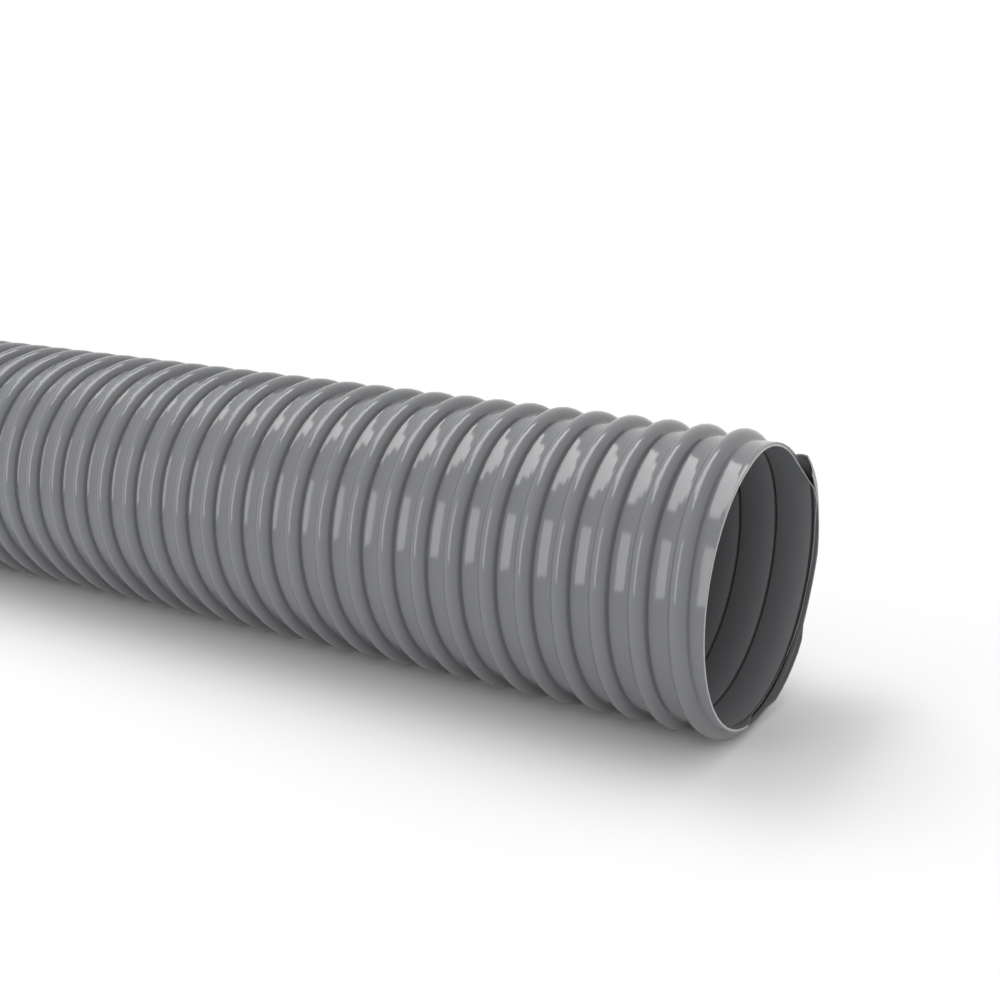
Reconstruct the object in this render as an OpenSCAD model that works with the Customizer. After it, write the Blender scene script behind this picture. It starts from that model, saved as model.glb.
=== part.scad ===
// A straight length of smooth-bore drain hose for a recreational vehicle.
// Two PVC strips are wound and welded: a flat liner strip that makes the bore, and a cover strip
// with a hollow half-round rib, which climbs the hose as a right-handed helix.
// The hose lies along X with its trimmed mouth towards +X, on the plane Z = 0.

/* [Hose] */
// Bore, the nominal three inch size that drain fittings are made for
bore_d = 76.2; // [50:0.1:102]
// Length from cut end to cut end
hose_len = 914.4; // [152.4:152.4:914.4]
// Thickness of the liner strip
liner_wall = 0.5; // [0.4:0.1:1]
// Thickness of the cover strip's flat web
cover_wall = 0.51; // [0.4:0.01:1]

/* [Rib] */
// Axial distance from one turn of the rib to the next
rib_pitch = 11; // [9:0.5:14]
// Height of the rib above the flat web, and half of its width
rib_h = 2.76; // [2:0.01:3.5]
// Thickness of the hollow rib's wall
rib_wall = 0.7; // [0.4:0.1:1]

/* [Mouth] */
// How far the rib's crest stands behind the mouth's plane on the +Y side
crest_setback = 0.97; // [0:0.01:2]
// Angle past the +Y side, towards the top, at which the last bit of rib is snipped off square
snip_angle = 48; // [20:1:90]

/* [Hidden] */

bore_r = bore_d/2;
liner_r = bore_r + liner_wall;
land_r = liner_r + cover_wall;
crest_r = land_r + rib_h;
mouth_x = hose_len/2;

// Each half turn of the rib is a flat semicircle, tilted so that its ends lie half a pitch apart.
// At both ends its direction is square to the hose's axis, so one half turn runs smoothly into
// the next, and the rib's section stays round all the way. With land_r at 39.11 and a pitch of 11,
// the ends still meet exactly where the tilt is written with only six digits.
half_pitch = rib_pitch/2;
half_turn_tilt = asin(half_pitch/2/land_r);
turns = ceil((hose_len + rib_h)/rib_pitch);
half_turns = 2*turns;
chain_end_x = mouth_x - crest_setback;
chain_start_x = chain_end_x - turns*rib_pitch;

// The rib passes the far end's plane this many degrees along the chain, and starts as far before
// it as its other end runs past the mouth's plane.
mouth_crossing = 360*crest_setback/rib_pitch;
far_crossing = 360*(turns - (hose_len - crest_setback)/rib_pitch);
first_degree = far_crossing - (snip_angle - mouth_crossing);
first_half_turn = floor(first_degree/180);
first_angle = round(first_degree - 180*first_half_turn);
// So many stretches at each end are trimmed by that end's cut.
ends = 3;

// The rib's feet are sunk into the web, with which they are one moulding.
foot_depth = 0.3*cover_wall;
end_margin = rib_pitch + rib_h;
smooth = 96;
smooth_section = 24;

module along_x() {
    rotate([0, 90, 0]) children();
}

module tube(outer_r, inner_r, length) {
    difference() {
        cylinder(r = outer_r, h = length, center = true, $fn = smooth);
        cylinder(r = inner_r, h = length + 2*end_margin, center = true, $fn = smooth);
    }
}

// The hollow rib's section, an arch that stands on the web with its centre at the web's surface.
module rib_section() {
    translate([land_r, 0]) difference() {
        circle(r = rib_h, $fn = smooth_section);
        circle(r = rib_h - rib_wall, $fn = smooth_section);
        translate([-2*rib_h - foot_depth, -rib_h])
            square([2*rib_h, 2*rib_h]);
    }
}

// One stretch of the rib, counted from the far end: even ones pass over the top, odd ones below.
// It is swept from one angle to another along its own semicircle.
module rib_stretch(index, from = 0, to = 180) {
    translate([chain_start_x + (index + 0.5)*half_pitch, 0, 0])
        rotate([180*(index % 2), 0, 0])
        rotate([90, 0, 90 + half_turn_tilt])
        rotate_extrude(start = from, angle = to - from, $fn = smooth) rib_section();
}

// What the knife takes off past each end of the hose.
module offcut(side) {
    translate([side*(mouth_x + end_margin), 0, 0]) along_x()
        cylinder(r = 2*crest_r, h = 2*end_margin, center = true, $fn = smooth_section);
}

// The middle stretches are whole. Past each cut the rib would thin to a loose sliver, which is
// snipped off square, so the first and the last stretch are shorter.
module rib() {
    for (i = [first_half_turn + ends : half_turns - ends]) rib_stretch(i);
    difference() {
        union() {
            rib_stretch(first_half_turn, from = first_angle);
            for (i = [first_half_turn + 1 : first_half_turn + ends - 1]) rib_stretch(i);
        }
        offcut(-1);
    }
    difference() {
        union() {
            for (i = [half_turns - ends + 1 : half_turns - 1]) rib_stretch(i);
            rib_stretch(half_turns, to = snip_angle);
        }
        offcut(1);
    }
}

module bore_liner() {
    color([0.33, 0.34, 0.35]) translate([0, 0, crest_r]) along_x()
        tube(liner_r, bore_r, hose_len);
}

module ribbed_cover() {
    color([0.54, 0.55, 0.57]) translate([0, 0, crest_r]) union() {
        along_x() tube(land_r, liner_r, hose_len);
        rib();
    }
}

bore_liner();
ribbed_cover();
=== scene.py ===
# %% [markdown]
# # A drain hose with a helical rib
# This lesson dresses one straight length of drain hose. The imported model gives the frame: its two
# solids say how long, how wide and how high every visible surface has to be. We load it first, and
# note its box, because the finished hose has to stay inside it.

# %% Load the frame
from math import ceil, cos, floor, pi, radians, sin
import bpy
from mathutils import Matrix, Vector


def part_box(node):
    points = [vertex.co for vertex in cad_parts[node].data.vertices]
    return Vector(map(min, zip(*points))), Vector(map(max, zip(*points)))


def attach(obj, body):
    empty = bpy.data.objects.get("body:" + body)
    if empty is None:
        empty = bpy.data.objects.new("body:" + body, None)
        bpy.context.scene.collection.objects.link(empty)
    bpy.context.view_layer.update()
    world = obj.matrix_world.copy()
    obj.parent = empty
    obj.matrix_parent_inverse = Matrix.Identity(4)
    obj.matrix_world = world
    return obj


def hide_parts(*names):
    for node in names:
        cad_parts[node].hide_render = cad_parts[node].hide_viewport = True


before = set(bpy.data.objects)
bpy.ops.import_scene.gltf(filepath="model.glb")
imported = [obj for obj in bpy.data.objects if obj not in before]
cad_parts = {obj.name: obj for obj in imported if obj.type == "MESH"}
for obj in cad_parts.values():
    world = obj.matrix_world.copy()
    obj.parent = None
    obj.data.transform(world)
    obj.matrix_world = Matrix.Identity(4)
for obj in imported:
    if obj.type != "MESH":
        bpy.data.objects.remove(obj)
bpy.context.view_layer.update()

from types import SimpleNamespace

import bmesh
import bpy
from mathutils import Matrix, Vector

# %% [markdown]
# ## Sizes
# The two solids carry most of the sizes, so they are read from the frame and not written twice. Only
# what a box can't tell is named here: the pitch of the rib, the walls, and where the rib stands at
# the mouth. Angles run about the hose's axis, from its +Y side over the top, and a right-handed helix
# climbs towards the mouth with them.

# %% Sizes of the hose
MM = 0.001
cover_low, cover_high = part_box("ribbed_cover")
liner_low, liner_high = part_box("bore_liner")
MOUTH_X, FAR_X = cover_high.x, cover_low.x
AXIS_Z = (liner_low.z + liner_high.z)/2
LINER_R = (liner_high.z - liner_low.z)/2
CREST_R = (cover_high.z - cover_low.z)/2

PITCH = 11*MM
LINER_WALL = 0.5*MM
COVER_WALL = 0.51*MM
RIB_WALL = 0.7*MM
CREST_SETBACK = 0.97*MM
BORE_R = LINER_R - LINER_WALL
LAND_R = LINER_R + COVER_WALL
RIB_H = CREST_R - LAND_R

# %% [markdown]
# ## The camera
# A long hose seen from close by gets its look from perspective: the ribs crowd together as they
# recede. So the camera stands 0.37 m from the mouth, a little higher than the hose, and looks back along
# it. How fast the ribs crowd says how long its lens is.

# %% Camera
CAMERA_FROM_MOUTH = Vector((119.22, -329.95, 118.61))*MM
CAMERA_FORWARD = Vector((-0.5013, 0.8238, -0.2643))
camera_data = bpy.data.cameras.new("camera")
camera_data.sensor_width = 36
camera_data.lens = 49.03
camera_data.clip_start = 0.01
camera = bpy.data.objects.new("camera", camera_data)
camera.location = Vector((MOUTH_X, 0, AXIS_Z)) + CAMERA_FROM_MOUTH
camera.rotation_euler = CAMERA_FORWARD.to_track_quat("-Z", "Y").to_euler()
bpy.context.scene.collection.objects.link(camera)
bpy.context.scene.camera = camera
print("camera at", tuple(round(c, 4) for c in camera.location))

# %% [markdown]
# ## Formulas as nodes
# The trees below hold real formulas, and a formula is hard to read as forty lines of links. So we make
# two helpers. `add` puts one node into a tree and fills its inputs. `Field` wraps a number in a tree,
# so that Python's own arithmetic writes the nodes: `a + b` adds a node that adds. Geometry nodes and
# shaders share these math nodes, so the same helpers serve both.

# %% Helpers for node trees
def add(tree, kind, inputs=None, **settings):
    node = tree.nodes.new(kind)
    for name, value in settings.items():
        setattr(node, name, value)
    for key, value in (inputs or {}).items():
        for one in value if isinstance(value, list) else [value]:
            if isinstance(one, bpy.types.NodeSocket):
                tree.links.new(one, node.inputs[key])
            else:
                node.inputs[key].default_value = one
    return node


class Field:
    """A number that a node tree works out for every vertex, or every spot of a surface."""

    def __init__(self, tree, socket):
        self.tree, self.socket = tree, socket

    def math(self, operation, *others):
        values = [self.socket] + [o.socket if isinstance(o, Field) else o for o in others]
        node = add(self.tree, "ShaderNodeMath", dict(enumerate(values)), operation=operation)
        return Field(self.tree, node.outputs[0])

    def __add__(self, other):
        return self.math("ADD", other)

    def __sub__(self, other):
        return self.math("SUBTRACT", other)

    def __mul__(self, other):
        return self.math("MULTIPLY", other)

    def __truediv__(self, other):
        return self.math("DIVIDE", other)

    def ramp(self, low, high, to):
        """Grows from 0 to `to` while this field grows from low to high."""
        names = {"Value": self, "From Min": low, "From Max": high, "To Min": 0.0, "To Max": to}
        inputs = {k: v.socket if isinstance(v, Field) else v for k, v in names.items()}
        node = add(self.tree, "ShaderNodeMapRange", inputs)
        return Field(self.tree, node.outputs[0])


print("helpers ready")

# %% [markdown]
# ## The trimmed edge
# A hose is cut to length by hand, with a blade that wanders. For most of the round it follows the
# plane of the mouth. Then it meets the rib, runs along the rib's front foot for a third of a turn, up
# to two and a half millimetres past the plane, and crosses the rib in one short snip. In that third
# the liner has torn: first along its seam, then on a line of its own, and it mostly ends further in
# than the cover. Each edge is a few points: degrees round the hose, and millimetres past the plane.

# %% Edges of the cover and the liner
COVER_EDGE = [(0, 2.35), (18, 2.5), (32, 2.5), (42, 2.3), (51, 2.3), (52, -0.4), (62, -0.4),
              (77, -0.8), (99.5, -0.3), (110, 0), (188, 0), (190, 0.12), (193, 0), (240, 0),
              (282, -0.1), (286, 1.15), (299, 1.6), (314, 2.0), (320, 2.1), (324, 1.9), (328, 1.3),
              (343, 1.6), (360, 2.35)]
LINER_EDGE = [(0, 1.1), (11, 1.4), (19, 1.9), (25, 2.4), (31, 2.5), (36, 1.2), (42, 0.1),
              (48, -0.5), (54, -0.8), (62, -0.65), (77, -0.8), (99.5, -0.3), (110, 0), (188, 0),
              (190, 0.12), (193, 0), (240, 0), (266, -0.1), (272, -2.25), (290, -1.7),
              (312, -0.8), (322, -0.2), (330, 0.1), (343, 0.4), (360, 1.1)]
print("the cover reaches", max(past for _, past in COVER_EDGE), "mm past the plane")

# %% [markdown]
# ## A tree that winds a tube
# The real hose is wound from strips round a mandrel. One Geometry Nodes tree does the same with a flat
# grid: one direction of the grid runs round and forward, the other across one strip, from one flat
# land over the rib to the next. What differs between the cover and the liner is an input, because the
# same tree makes both: the liner's "rib" is a fine groove, and its plain side is the outer one. The
# formulas below find the inputs in one bundle, `w`, under their own names.

# %% Inputs of the winding tree
STEPS_PER_TURN = 56
DEGREE_STEP = 360/STEPS_PER_TURN
WINDING_INPUTS = {
    "Rows": "NodeSocketInt", "First degree": "NodeSocketFloat", "Degree step": "NodeSocketFloat",
    "Crest x at 0": "NodeSocketFloat", "Pitch": "NodeSocketFloat", "Low x": "NodeSocketFloat",
    "Mouth x": "NodeSocketFloat", "Base radius": "NodeSocketFloat", "Plain radius": "NodeSocketFloat",
    "Rib radius": "NodeSocketFloat", "Front foot": "NodeSocketFloat", "Back foot": "NodeSocketFloat",
    "Far snip": "NodeSocketFloat", "Mouth snip": "NodeSocketFloat",
    "Centre height": "NodeSocketFloat", "Material": "NodeSocketMaterial",
}


def open_tree(name, edge_points):
    """A new tree with these inputs, and the bundle that the formulas read."""
    tree = bpy.data.node_groups.new(name, "GeometryNodeTree")
    for label, kind in WINDING_INPUTS.items():
        tree.interface.new_socket(name=label, in_out="INPUT", socket_type=kind)
    tree.interface.new_socket(name="Geometry", in_out="OUTPUT", socket_type="NodeSocketGeometry")
    sockets = add(tree, "NodeGroupInput").outputs
    fields = {label.lower().replace(" ", "_"): Field(tree, sockets[label]) for label in WINDING_INPUTS}
    index = Field(tree, add(tree, "GeometryNodeInputIndex").outputs[0])
    return SimpleNamespace(tree=tree, edge_points=edge_points, index=index, **fields)


print("the winding tree has", len(WINDING_INPUTS), "inputs")

# %% [markdown]
# ## The rib's profile
# For every vertex one formula gives the radius: how far is the nearest crest, and how high does the
# rib stand at that distance? The rib is a half round with a fillet at each foot, a tight one in front
# and a softer one behind. Past its two snips it is gone, and over the last 20 degrees before the one
# at the mouth the shears have bent it down, in the end to half of its height.

# %% Profile of the rib
BENT_DEGREES, BENT_BY = 20.0, 0.5


def rib_side(w, in_front):
    """Foot, fillet radius and tangent point of the rib's front or back."""
    foot = w.back_foot + (w.front_foot - w.back_foot)*in_front
    fillet = (foot*foot - w.rib_radius*w.rib_radius)/(w.rib_radius*2.0)
    return foot, fillet, w.rib_radius*foot/(w.rib_radius + fillet)


def radius_at(w, x, degrees, past):
    """Arch, fillet or flat land, by the distance to the nearest crest that isn't snipped off."""
    ahead = x - w.crest_x_at_0 - degrees/360.0*w.pitch
    turn = (ahead/w.pitch).math("ROUND")
    ahead = ahead - turn*w.pitch
    # Half a degree less, so that of a snip's two rows the first is before it and the second past it.
    crest_degree = degrees + turn*360.0 - 0.5
    standing = ((crest_degree + past[0]).math("GREATER_THAN", w.far_snip)
                * (crest_degree + past[1]).math("LESS_THAN", w.mouth_snip))
    foot, fillet, tangent = rib_side(w, ahead.math("GREATER_THAN", 0.0))
    away = ahead.math("ABSOLUTE")
    arch = (w.rib_radius*w.rib_radius - away*away).math("MAXIMUM", 0.0).math("SQRT")
    into = (foot - away).math("MAXIMUM", 0.0)
    hollow = fillet - (fillet*fillet - into*into).math("MAXIMUM", 0.0).math("SQRT")
    on_arch = away.math("LESS_THAN", tangent)
    height = (hollow + (arch - hollow)*on_arch)*standing
    bent = crest_degree.ramp(w.mouth_snip - BENT_DEGREES, w.mouth_snip, BENT_BY)
    return w.base_radius + height - height*bent


print("the rib is bent down over", BENT_DEGREES, "degrees")

# %% [markdown]
# ## Rows, and the trimmed edge
# Each row of the grid has its angle. Where the rib is snipped off, the grid has its row twice, once
# with the rib and once without, so the snip is a clean wall. The trimmed edge is a curve node, whose
# values from 0 to 1 stand for six millimetres, and each vertex looks up its own angle there.

# %% Rows and trimmed edge
EDGE_SPAN = 6*MM
# A row this near to the snip, in degrees, is on it, and reads the edge this far before or past it.
AT_SNIP, BESIDE_SNIP = 0.1, 1.0


def angle_of(w, row, start, snip_rows):
    """A row's angle. The two rows where the rib is snipped come twice, before and past it."""
    one, other = snip_rows
    low, high = one.math("MINIMUM", other), one.math("MAXIMUM", other)
    place = row - row.math("GREATER_THAN", low + 0.5) - row.math("GREATER_THAN", high + 1.5)
    past = [row.math("GREATER_THAN", a + a.math("GREATER_THAN", b + 0.5) + 0.5)
            for a, b in ((one, other), (other, one))]
    return place*w.degree_step + start, past


def edge_at(w, degrees, past):
    """The x of the trimmed edge at this angle. At the snip it has two, one each side of it."""
    from_snip = degrees.math("FLOORED_MODULO", 360.0) - w.mouth_snip
    at_snip = from_snip.math("ABSOLUTE").math("LESS_THAN", AT_SNIP)
    beside = (past[1]*2.0 - 1.0)*at_snip*BESIDE_SNIP
    turn_part = ((degrees + beside)/360.0).math("FRACT")
    curve = add(w.tree, "ShaderNodeFloatCurve", {"Value": turn_part.socket})
    points = curve.mapping.curves[0].points
    for place, (degree, reach) in enumerate(w.edge_points):
        at = (degree/360, 0.5 + reach*MM/EDGE_SPAN)
        point = points[place] if place < 2 else points.new(*at)
        point.location, point.handle_type = at, "VECTOR"
    curve.mapping.update()
    return w.mouth_x + (Field(w.tree, curve.outputs[0]) - 0.5)*EDGE_SPAN


print("the edge may wander", EDGE_SPAN/2/MM, "mm each way")

# %% [markdown]
# ## The strip
# Across the strip the columns stand closest on the arch and the fillets, where the surface turns most.
# What would pass an end of the hose is pressed onto it. Because the radius comes from the formula, the
# vertices that meet there fall on one another.

# %% The strip
ARCH_STEPS, FILLET_STEPS, LAND_STEPS = 6, 3, 1
HALF_STEPS = ARCH_STEPS + FILLET_STEPS + LAND_STEPS


def placed(w, grid, x, radius, degrees):
    """The grid with every vertex moved to its x, radius and angle."""
    angle = degrees*(pi/180)
    y, z = radius*angle.math("COSINE"), radius*angle.math("SINE") + w.centre_height
    spot = add(w.tree, "ShaderNodeCombineXYZ", {"X": x.socket, "Y": y.socket, "Z": z.socket})
    moved = add(w.tree, "GeometryNodeSetPosition", {"Geometry": grid.outputs["Mesh"],
                                                    "Position": spot.outputs[0]})
    return moved.outputs[0]


def strip(w):
    """The wound skin, from half a pitch behind each crest to half a pitch in front of it."""
    columns = 2*HALF_STEPS + 1
    grid = add(w.tree, "GeometryNodeMeshGrid", {"Vertices X": w.rows.socket, "Vertices Y": columns})
    row = (w.index/columns).math("FLOOR")
    side = (w.index - row*columns)/HALF_STEPS - 1.0
    out = side.math("ABSOLUTE")*HALF_STEPS
    foot, _, tangent = rib_side(w, side.math("GREATER_THAN", 0.0))
    arch_angle = out.ramp(0.0, ARCH_STEPS, (tangent/w.rib_radius).math("ARCSINE"))
    across = (arch_angle.math("SINE")*w.rib_radius
              + out.ramp(ARCH_STEPS, ARCH_STEPS + FILLET_STEPS, foot - tangent)
              + out.ramp(ARCH_STEPS + FILLET_STEPS, HALF_STEPS, w.pitch/2.0 - foot))
    snip_rows = [(snip - w.first_degree)/w.degree_step for snip in (w.far_snip, w.mouth_snip)]
    degrees, past = angle_of(w, row, w.first_degree, snip_rows)
    x = w.crest_x_at_0 + degrees/360.0*w.pitch + across*side.math("SIGN")
    x = x.math("MAXIMUM", w.low_x).math("MINIMUM", edge_at(w, degrees, past))
    return placed(w, grid, x, radius_at(w, x, degrees, past), degrees)


print("the strip has", 2*HALF_STEPS, "faces across and", STEPS_PER_TURN, "a turn")

# %% [markdown]
# ## The lining
# The strip is only a skin. A second, small grid makes the wall's plain side and its two cut faces,
# which get a mark for the material. It goes once round, and it reads the same formulas, so its rims
# fall on the strip's.

# %% The lining
LINING_COLUMNS = 4
CUT_MARK = "cut_face"


def lining(w):
    """Cut face at the mouth, plain side, cut face at the far end."""
    grid = add(w.tree, "GeometryNodeMeshGrid", {"Vertices X": STEPS_PER_TURN + 3,
                                                "Vertices Y": LINING_COLUMNS})
    row = (w.index/LINING_COLUMNS).math("FLOOR")
    column = w.index - row*LINING_COLUMNS
    snip_rows = [snip.math("FLOORED_MODULO", 360.0)/w.degree_step
                 for snip in (w.far_snip, w.mouth_snip)]
    degrees, past = angle_of(w, row, 0.0, snip_rows)
    at_mouth = column.math("LESS_THAN", 1.5)
    on_skin = (column - 1.5).math("ABSOLUTE").math("GREATER_THAN", 1.0)
    x = w.low_x + (edge_at(w, degrees, past) - w.low_x)*at_mouth
    radius = w.plain_radius + (radius_at(w, x, degrees, past) - w.plain_radius)*on_skin
    faces_a_row = LINING_COLUMNS - 1
    face = w.index - (w.index/faces_a_row).math("FLOOR")*faces_a_row
    is_cut = (face - 1.0).math("ABSOLUTE")
    marked = add(w.tree, "GeometryNodeStoreNamedAttribute",
                 {"Geometry": placed(w, grid, x, radius, degrees), "Name": CUT_MARK,
                  "Value": is_cut.socket}, domain="FACE")
    return marked.outputs[0]


print("the lining has", LINING_COLUMNS - 1, "faces a row, and two of them are cut faces")

# %% [markdown]
# ## The whole tree
# The two grids are joined, and the vertices that fall on one another are welded, which closes the wall.
# At its end the tree makes instances real and sets the material, because an export drops instances.

# %% The winding tree
WELD = 0.01*MM


def winding_tree(name, edge_points):
    w = open_tree(name, edge_points)
    joined = add(w.tree, "GeometryNodeJoinGeometry", {"Geometry": [strip(w), lining(w)]})
    welded = add(w.tree, "GeometryNodeMergeByDistance", {"Geometry": joined.outputs[0],
                                                         "Distance": WELD})
    real = add(w.tree, "GeometryNodeRealizeInstances", {"Geometry": welded.outputs[0]})
    dressed = add(w.tree, "GeometryNodeSetMaterial", {"Geometry": real.outputs[0],
                                                      "Material": w.material.socket})
    add(w.tree, "NodeGroupOutput", {0: dressed.outputs[0]})
    return w.tree


print("vertices closer than", WELD/MM, "mm are welded")

# %% [markdown]
# ## Keeping a mesh
# When a tree has run, its mesh is kept as plain geometry, with all faces outward and only the real
# edges sharp. A mesh made by nodes keeps an empty first material slot, which goes.

# %% Keep and tidy a mesh
SHARP_DEGREES = 40


def keep_mesh(maker, name):
    """The maker's evaluated mesh as an object of its own, at the origin. The maker goes."""
    evaluated = maker.evaluated_get(bpy.context.evaluated_depsgraph_get())
    mesh = bpy.data.meshes.new_from_object(evaluated)
    bpy.data.objects.remove(maker)
    mesh.name = name
    if mesh.materials[0] is None:
        mesh.materials.pop(index=0)
    piece = bpy.data.objects.new(name, mesh)
    bpy.context.scene.collection.objects.link(piece)
    return piece


def tidy_faces(mesh):
    """Faces outward, smooth, and sharp only where the surface really turns. Counts open edges."""
    work = bmesh.new()
    work.from_mesh(mesh)
    bmesh.ops.recalc_face_normals(work, faces=work.faces)
    open_edges = sum(1 for e in work.edges if not e.is_manifold)
    work.to_mesh(mesh)
    work.free()
    mesh.shade_smooth()
    mesh.set_sharp_from_angle(angle=radians(SHARP_DEGREES))
    return open_edges


print("edges are sharp from", SHARP_DEGREES, "degrees")

# %% [markdown]
# ## Winding a piece
# A piece is an empty object with the winding tree as a modifier. The number of rows follows from the
# length: the strip has to start a bit more than half a pitch before the far end and stop as far past
# the mouth, so that its first and last rows are pressed flat.

# %% Wind a piece
def wind_piece(name, edge_points, material, crest_zero, base, plain, rib, feet, snips):
    reach = PITCH/2 + EDGE_SPAN/4
    first = floor((FAR_X - reach - crest_zero)/PITCH*STEPS_PER_TURN)
    last = ceil((MOUTH_X + reach - crest_zero)/PITCH*STEPS_PER_TURN)
    values = {
        "Rows": last - first + 1 + len(snips), "First degree": first*DEGREE_STEP,
        "Degree step": DEGREE_STEP, "Crest x at 0": crest_zero, "Pitch": PITCH, "Low x": FAR_X,
        "Mouth x": MOUTH_X, "Base radius": base, "Plain radius": plain, "Rib radius": rib,
        "Front foot": feet[0], "Back foot": feet[1], "Far snip": snips[0], "Mouth snip": snips[1],
        "Centre height": AXIS_Z, "Material": material,
    }
    maker = bpy.data.objects.new("maker", bpy.data.meshes.new("maker"))
    bpy.context.scene.collection.objects.link(maker)
    modifier = maker.modifiers.new("winding", "NODES")
    modifier.node_group = winding_tree("winding_" + name, edge_points)
    for socket in modifier.node_group.interface.items_tree:
        if socket.in_out == "INPUT":
            modifier[socket.identifier] = values[socket.name]
    piece = keep_mesh(maker, name)
    open_edges = tidy_faces(piece.data)
    print(f"{name}: {len(piece.data.polygons)} faces, {open_edges} open edges")
    return piece


print("ready to wind")

# %% [markdown]
# ## The cover and the liner
# The rib is snipped at both ends. At the mouth that is 20 degrees past the place where its crest
# leaves the plane, and at the far end it is about as far before it. The liner's groove is cut with the
# strip and isn't snipped, so its two snips lie at degrees that no row has.

# %% Wind the cover and the liner
cover_material = bpy.data.materials.new("extruded_gloss_pvc")
liner_material = bpy.data.materials.new("calendered_satin_pvc")
CREST_ZERO = MOUTH_X - CREST_SETBACK
SEAM_ZERO = MOUTH_X + 0.45*MM
MOUTH_SNIP = 8*DEGREE_STEP
FAR_CROSSING = 360*(FAR_X - CREST_ZERO)/PITCH
FAR_OVERHANG = 16
FAR_SNIP = floor((FAR_CROSSING - FAR_OVERHANG)/DEGREE_STEP)*DEGREE_STEP
NO_SNIP = 360000.0
RIB_FEET = (2.95*MM, 3.3*MM)
GROOVE_R, GROOVE_FEET = 0.32*MM, (0.34*MM, 0.34*MM)
cover = wind_piece("hose_cover", COVER_EDGE, cover_material, CREST_ZERO, base=LAND_R, plain=LINER_R,
                   rib=RIB_H, feet=RIB_FEET, snips=(FAR_SNIP, MOUTH_SNIP))
liner = wind_piece("hose_liner", LINER_EDGE, liner_material, SEAM_ZERO, base=BORE_R, plain=LINER_R,
                   rib=GROOVE_R, feet=GROOVE_FEET, snips=(-NO_SNIP, NO_SNIP))

# %% [markdown]
# ## A knife for the rib
# What has to be hollow is cut with a knife: a closed solid, swept along the crest's helix and taken
# away with a Boolean. The knife is swept on the same rows as the strip and bent down with it at the
# snip, so it stays inside the rib.

# %% Sweep and cut
def sweep(name, section, angles):
    """A closed solid: the section, points of (along, radius), swept along the crest's helix."""
    work = bmesh.new()
    rings = []
    for degrees in angles:
        turn, crest_x = radians(degrees), CREST_ZERO + PITCH*degrees/360
        upright = 1 - BENT_BY*min(max((degrees - MOUTH_SNIP)/BENT_DEGREES + 1, 0), 1)
        ring = [(along, LAND_R + (r - LAND_R)*upright if r > LAND_R else r) for along, r in section]
        rings.append([work.verts.new((crest_x + along, r*cos(turn), r*sin(turn) + AXIS_Z))
                      for along, r in ring])
    count = len(section)
    for here, there in zip(rings[:-1], rings[1:]):
        for j in range(count):
            k = (j + 1) % count
            work.faces.new((here[j], here[k], there[k], there[j]))
    work.faces.new(rings[0])
    work.faces.new(rings[-1])
    bmesh.ops.recalc_face_normals(work, faces=work.faces)
    mesh = bpy.data.meshes.new(name)
    mesh.materials.append(cover_material)
    work.to_mesh(mesh)
    work.free()
    knife = bpy.data.objects.new(name, mesh)
    bpy.context.scene.collection.objects.link(knife)
    return knife


def cut_away(piece, knife):
    modifier = piece.modifiers.new("cut", "BOOLEAN")
    modifier.operation, modifier.solver, modifier.object = "DIFFERENCE", "MANIFOLD", knife
    name = piece.name
    piece.name = name + "_uncut"
    result = keep_mesh(piece, name)
    bpy.data.objects.remove(knife)
    return result


print("knife ready")

# %% [markdown]
# ## Opening the rib
# The rib is hollow, and each cut shows it: a dark tunnel behind the edge. The cover's strip is shaped
# like the letter omega, with no web beneath its rib, and the liner closes the tunnel. So the knife's
# section is half round at the top, and square below, down through the web. It runs along the last two
# turns and ends a hair past the snip, which leaves that wall open. The middle of the hose stays solid
# under the rib, where nobody can look.

# %% Hollow the rib's ends
CHAMBER_R = RIB_H - RIB_WALL
ROOF_STEPS = 12
OPEN_ROWS, PAST_SNIP = 2*STEPS_PER_TURN, 0.6
roof = [(CHAMBER_R*cos(pi*i/ROOF_STEPS), LAND_R + CHAMBER_R*sin(pi*i/ROOF_STEPS))
        for i in range(ROOF_STEPS + 1)]
chamber = roof + [(-CHAMBER_R, BORE_R), (CHAMBER_R, BORE_R)]
for end, snip, way in (("mouth", MOUTH_SNIP, 1), ("far", FAR_SNIP, -1)):
    angles = [snip - way*(OPEN_ROWS - i)*DEGREE_STEP for i in range(OPEN_ROWS)]
    angles.append(snip + way*PAST_SNIP)
    cover = cut_away(cover, sweep("chamber_" + end, chamber, angles))
print("open edges after the cuts:", tidy_faces(cover.data), "faces:", len(cover.data.polygons))

# %% [markdown]
# ## Colours
# Colours are written as they look on a screen, in hex. Blender's shaders work in linear light, so one
# function converts them.

# %% From hex to linear
def linear(hex_colour):
    parts = [int(hex_colour[i:i + 2], 16)/255 for i in (1, 3, 5)]
    return (*(p/12.92 if p <= 0.04045 else ((p + 0.055)/1.055)**2.4 for p in parts), 1.0)


print("mid grey is", [round(c, 3) for c in linear("#808080")])

# %% [markdown]
# ## The cover's PVC
# The cover is plasticised PVC, extruded with a gloss and coloured through with carbon black and
# titanium white to a neutral grey. Its shine is clear but not a mirror's.
#
# A strip that is wound hot and under tension can sink a little between its ribs. Here each land stays
# flat in the middle and turns up at both feet. That is only 0.13 mm, too little to see as a shape, but
# a gloss shows it: a softbox fills the lands near the mouth, and shrinks to a strip at the foot of the
# far ones. So it is made as a bump, the fourth power of the way from the land's middle to its foot,
# with the helix formula telling where the middle is.
#
# The surface is also uneven, which makes the lights' edges wander from turn to turn. It has three
# layers of noise. A noise of scale S has waves of about 1000/S mm: slow ones of 18 mm, ripples of
# 4 mm, and a grain of 1 mm that softens the edges. The colour drifts over 33 mm, as a pigment does
# that isn't fully mixed.

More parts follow.
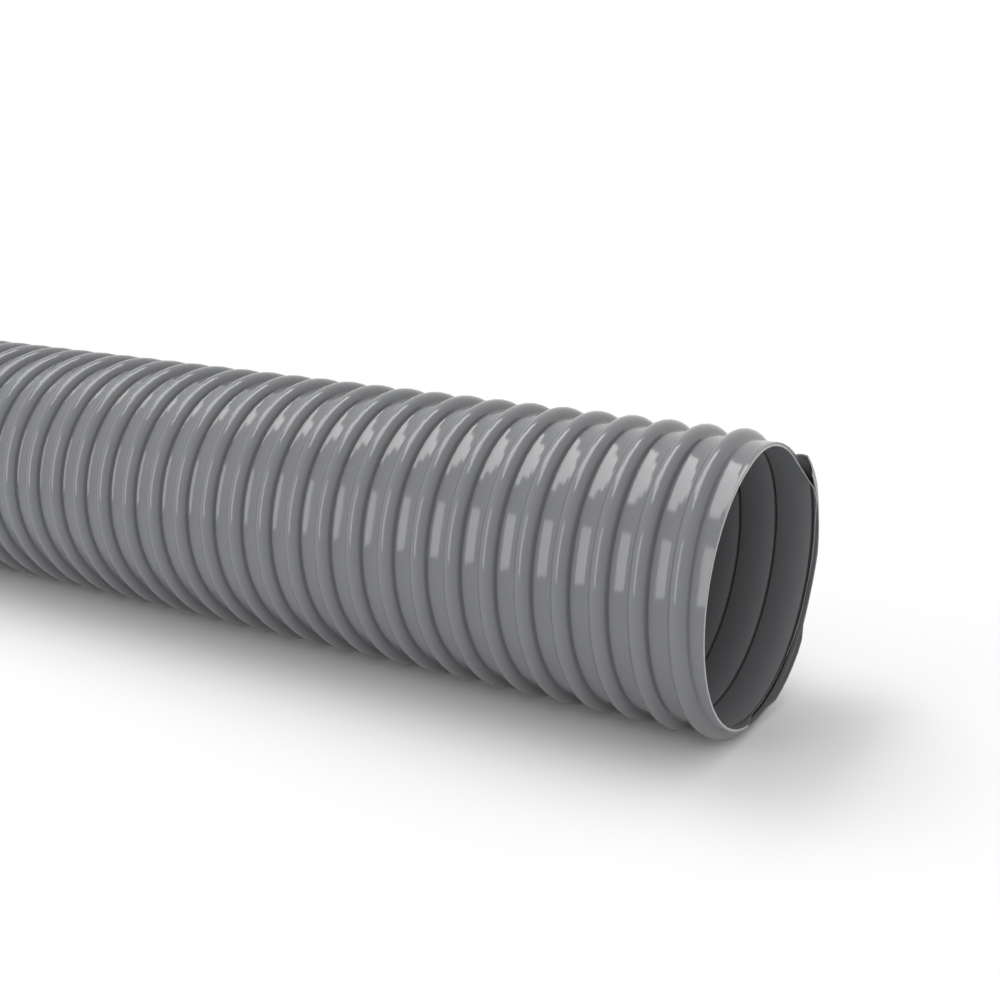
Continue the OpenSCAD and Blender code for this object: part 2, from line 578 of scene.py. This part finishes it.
# %% Material of the cover
def shader(material):
    material.use_nodes = True
    tree = material.node_tree
    tree.nodes.clear()
    coordinates = add(tree, "ShaderNodeTexCoord").outputs["Object"]
    surface = add(tree, "ShaderNodeBsdfPrincipled")
    add(tree, "ShaderNodeOutputMaterial", {"Surface": surface.outputs[0]})
    return tree, coordinates, surface


def from_helix(tree, place, x_at_0):
    """How far a spot lies from a helix that crosses the +Y side at x_at_0."""
    spot = add(tree, "ShaderNodeSeparateXYZ", {"Vector": place})
    x, y, z = (Field(tree, spot.outputs[i]) for i in range(3))
    degrees = (z - AXIS_Z).math("ARCTAN2", y)/radians(1)
    return (x - degrees/360.0*PITCH - x_at_0).math("PINGPONG", PITCH/2)


LAND_MIDDLE = (RIB_FEET[0] + PITCH - RIB_FEET[1])/2
LAND_HALF = (PITCH - RIB_FEET[0] - RIB_FEET[1])/2
DISH_LIFT = 0.13*MM
UNEVENNESS = ((55.0, 0.25*MM, 0.35), (260.0, 0.06*MM, 0.5), (900.0, 0.02*MM, 0.25))

tree, place, surface = shader(cover_material)
from_middle = from_helix(tree, place, CREST_ZERO + LAND_MIDDLE).math("MINIMUM", LAND_HALF)/LAND_HALF
normal = add(tree, "ShaderNodeBump", {"Height": from_middle.math("POWER", 4.0).socket,
                                      "Distance": DISH_LIFT, "Strength": 1.0}).outputs[0]
for scale, height, strength in UNEVENNESS:
    noise = add(tree, "ShaderNodeTexNoise", {"Vector": place, "Scale": scale, "Detail": 2.0})
    normal = add(tree, "ShaderNodeBump", {"Height": noise.outputs[0], "Distance": height,
                                          "Strength": strength, "Normal": normal}).outputs[0]
drift = add(tree, "ShaderNodeTexNoise", {"Vector": place, "Scale": 30.0, "Detail": 3.0})
tint = add(tree, "ShaderNodeMix", {0: drift.outputs[0], 6: linear("#6b6c6e"), 7: linear("#717274")},
           data_type="RGBA")
tree.links.new(tint.outputs[2], surface.inputs["Base Color"])
tree.links.new(normal, surface.inputs["Normal"])
surface.inputs["Roughness"].default_value = 0.12
surface.inputs["IOR"].default_value = 1.53
print("cover's material has", len(tree.nodes), "nodes")

# %% [markdown]
# ## The liner's PVC
# The liner is the same grey PVC, less glossy: its strip is pressed flat on the mandrel, which leaves
# a satin face with a grain of 2.5 mm (scale 400). Its two edges meet in a groove under the rib, and the
# shade in that groove is painted: a dark line that follows the groove by the helix formula and is a
# little wider. The faces that the tree has marked as cut are painted pale, a painted highlight for the
# light that the cut edges catch. They show as one fine light line.

# %% Material of the liner
# How far past the groove's edge the painted shade of the seam reaches.
GROOVE_SHADE_SPREAD = 0.12*MM

tree, place, surface = shader(liner_material)
grain = add(tree, "ShaderNodeTexNoise", {"Vector": place, "Scale": 400.0, "Detail": 2.0})
satin = add(tree, "ShaderNodeBump", {"Height": grain.outputs[0], "Distance": 0.03*MM, "Strength": 0.3})
tree.links.new(satin.outputs[0], surface.inputs["Normal"])
# Painted shade: the groove and a thin band beside it are coloured dark, for the shade that falls in it.
unshaded_by_groove = from_helix(tree, place, SEAM_ZERO).ramp(GROOVE_R, GROOVE_R + GROOVE_SHADE_SPREAD, 1.0)
tint = add(tree, "ShaderNodeMix", {0: unshaded_by_groove.socket, 6: linear("#2c2d2e"), 7: linear("#747577")},
           data_type="RGBA")
# Painted highlight: the faces marked as cut are coloured pale, for the light that they catch.
mark = add(tree, "ShaderNodeAttribute", attribute_name=CUT_MARK)
painted_cut_highlight = add(tree, "ShaderNodeMix", {0: mark.outputs["Fac"], 6: tint.outputs[2],
                                       7: linear("#b2b4b6")}, data_type="RGBA")
tree.links.new(painted_cut_highlight.outputs[2], surface.inputs["Base Color"])
surface.inputs["Roughness"].default_value = 0.42
surface.inputs["IOR"].default_value = 1.53
print("liner's material has", len(tree.nodes), "nodes")

# %% [markdown]
# ## Light
# Glossy grey plastic shows its lights as shapes. Two softboxes lie along the hose, one overhead and
# one in front of it, with a dark gap between them. Each land between two ribs then carries two patches
# of light, and each rib two fine lines. The boxes are placed by the angle at which the hose sees them,
# so their edges fall where they should on its round. The overhead box is three lamps, each narrower
# than the one before it, and the front one is plain.
#
# Beyond their ends hang three cards that only gloss can see. They lengthen the patches, as a reflector
# does in a studio, and don't light the grey itself.

# %% Softboxes
OVERHEAD, IN_FRONT = 85, 160.5
LAMP_DISTANCE = 1.2
OVERHEAD_STRENGTH, FRONT_STRENGTH = 12.0, 8.5


def softbox(name, degrees, near_x, far_x, reach, strength):
    """A lamp that faces the axis from this angle and spans these two x, metres past the mouth."""
    data = bpy.data.lights.new(name, "AREA")
    data.shape = "RECTANGLE"
    data.size, data.size_y = near_x - far_x, reach
    data.energy = strength*data.size*data.size_y
    lamp = bpy.data.objects.new(name, data)
    towards = Vector((0, cos(radians(degrees)), sin(radians(degrees))))
    along = Vector((1, 0, 0))
    lamp.matrix_world = Matrix((along, towards.cross(along), towards)).transposed().to_4x4()
    lamp.location = Vector((MOUTH_X + (near_x + far_x)/2, 0, AXIS_Z)) + towards*LAMP_DISTANCE
    bpy.context.scene.collection.objects.link(lamp)
    return lamp


softbox("overhead_wide", OVERHEAD, -0.38, -0.62, 1.28, OVERHEAD_STRENGTH)
softbox("overhead_middle", OVERHEAD, -0.62, -0.86, 0.80, OVERHEAD_STRENGTH)
softbox("overhead_narrow", OVERHEAD, -0.86, -1.10, 0.34, OVERHEAD_STRENGTH)
softbox("front_softbox", IN_FRONT, -0.39, -0.81, 1.04, FRONT_STRENGTH)
cards = [softbox("overhead_near_card", OVERHEAD, -0.15, -0.38, 1.28, OVERHEAD_STRENGTH),
         softbox("overhead_far_card", OVERHEAD, -1.10, -1.18, 0.34, OVERHEAD_STRENGTH),
         softbox("front_far_card", IN_FRONT, -0.81, -0.95, 1.04, FRONT_STRENGTH)]
for card in cards:
    card.visible_diffuse = False
print("four lamps and", len(cards), "cards,", LAMP_DISTANCE, "m from the axis")

# %% [markdown]
# ## Room
# The room is white wherever it can be seen, by the camera and in what gloss and clear plastic show.
# The light that it sheds is a little dimmer, so that the softboxes lead.

# %% World
ROOM_LIGHT = 0.85


def seen_directly(tree):
    """1 for rays of the camera, and for what gloss and clear plastic show; 0 for rays of light."""
    path = add(tree, "ShaderNodeLightPath")
    camera_ray, glossy, clear = (Field(tree, path.outputs[f"Is {kind} Ray"])
                                 for kind in ("Camera", "Glossy", "Transmission"))
    return camera_ray.math("MAXIMUM", glossy).math("MAXIMUM", clear)


world = bpy.data.worlds.new("room")
bpy.context.scene.world = world
world.use_nodes = True
tree = world.node_tree
tree.nodes.clear()
dim = add(tree, "ShaderNodeBackground", {"Color": linear("#ffffff"), "Strength": ROOM_LIGHT})
white = add(tree, "ShaderNodeBackground", {"Color": linear("#ffffff"), "Strength": 1.0})
room = add(tree, "ShaderNodeMixShader", {0: seen_directly(tree).socket, 1: dim.outputs[0],
                                         2: white.outputs[0]})
add(tree, "ShaderNodeOutputWorld", {"Surface": room.outputs[0]})
print("the room's light is", ROOM_LIGHT, "of what is seen")

# %% [markdown]
# ## Floor
# The floor is pale and matt. Near the hose it keeps the soft shadow that sets the hose down, and
# further to the sides and past the mouth it fades into the white room.

# %% Floor
FLOOR_HALF = 6.0
SHADOW_NEAR, SHADOW_FAR = 0.05, 0.32

floor_mesh = bpy.data.meshes.new("floor")
floor_mesh.from_pydata([(-FLOOR_HALF, -FLOOR_HALF, 0), (FLOOR_HALF, -FLOOR_HALF, 0),
                        (FLOOR_HALF, FLOOR_HALF, 0), (-FLOOR_HALF, FLOOR_HALF, 0)], [],
                       [(0, 1, 2, 3)])
floor_plane = bpy.data.objects.new("floor", floor_mesh)
bpy.context.scene.collection.objects.link(floor_plane)
floor_material = bpy.data.materials.new("floor")
floor_mesh.materials.append(floor_material)
tree, place, surface = shader(floor_material)
surface.inputs["Base Color"].default_value = linear("#f4f4f4")
surface.inputs["Roughness"].default_value = 0.8
spot = add(tree, "ShaderNodeSeparateXYZ", {"Vector": place})
past_mouth = (Field(tree, spot.outputs["X"]) - MOUTH_X).math("MAXIMUM", 0.0)
beside = Field(tree, spot.outputs["Y"])
away = (past_mouth*past_mouth + beside*beside).math("SQRT").ramp(SHADOW_NEAR, SHADOW_FAR, 1.0)
seen = away*seen_directly(tree)
paper = add(tree, "ShaderNodeEmission", {"Color": linear("#ffffff"), "Strength": 1.0})
faded = add(tree, "ShaderNodeMixShader", {0: seen.socket, 1: surface.outputs[0],
                                          2: paper.outputs[0]})
output = next(node for node in tree.nodes if node.bl_idname == "ShaderNodeOutputMaterial")
tree.links.new(faded.outputs[0], output.inputs["Surface"])
bpy.context.scene.view_settings.view_transform = "Standard"
print("the shadow fades from", SHADOW_NEAR, "to", SHADOW_FAR, "m")

# %% [markdown]
# ## Attaching the pieces
# Both pieces lie still, so both ride the root body. Each takes the place of its solid.

for piece, node, slot in ((cover, "ribbed_cover", "cover_pvc"), (liner, "bore_liner", "liner_pvc")):
    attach(piece, "root")
    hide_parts(node)
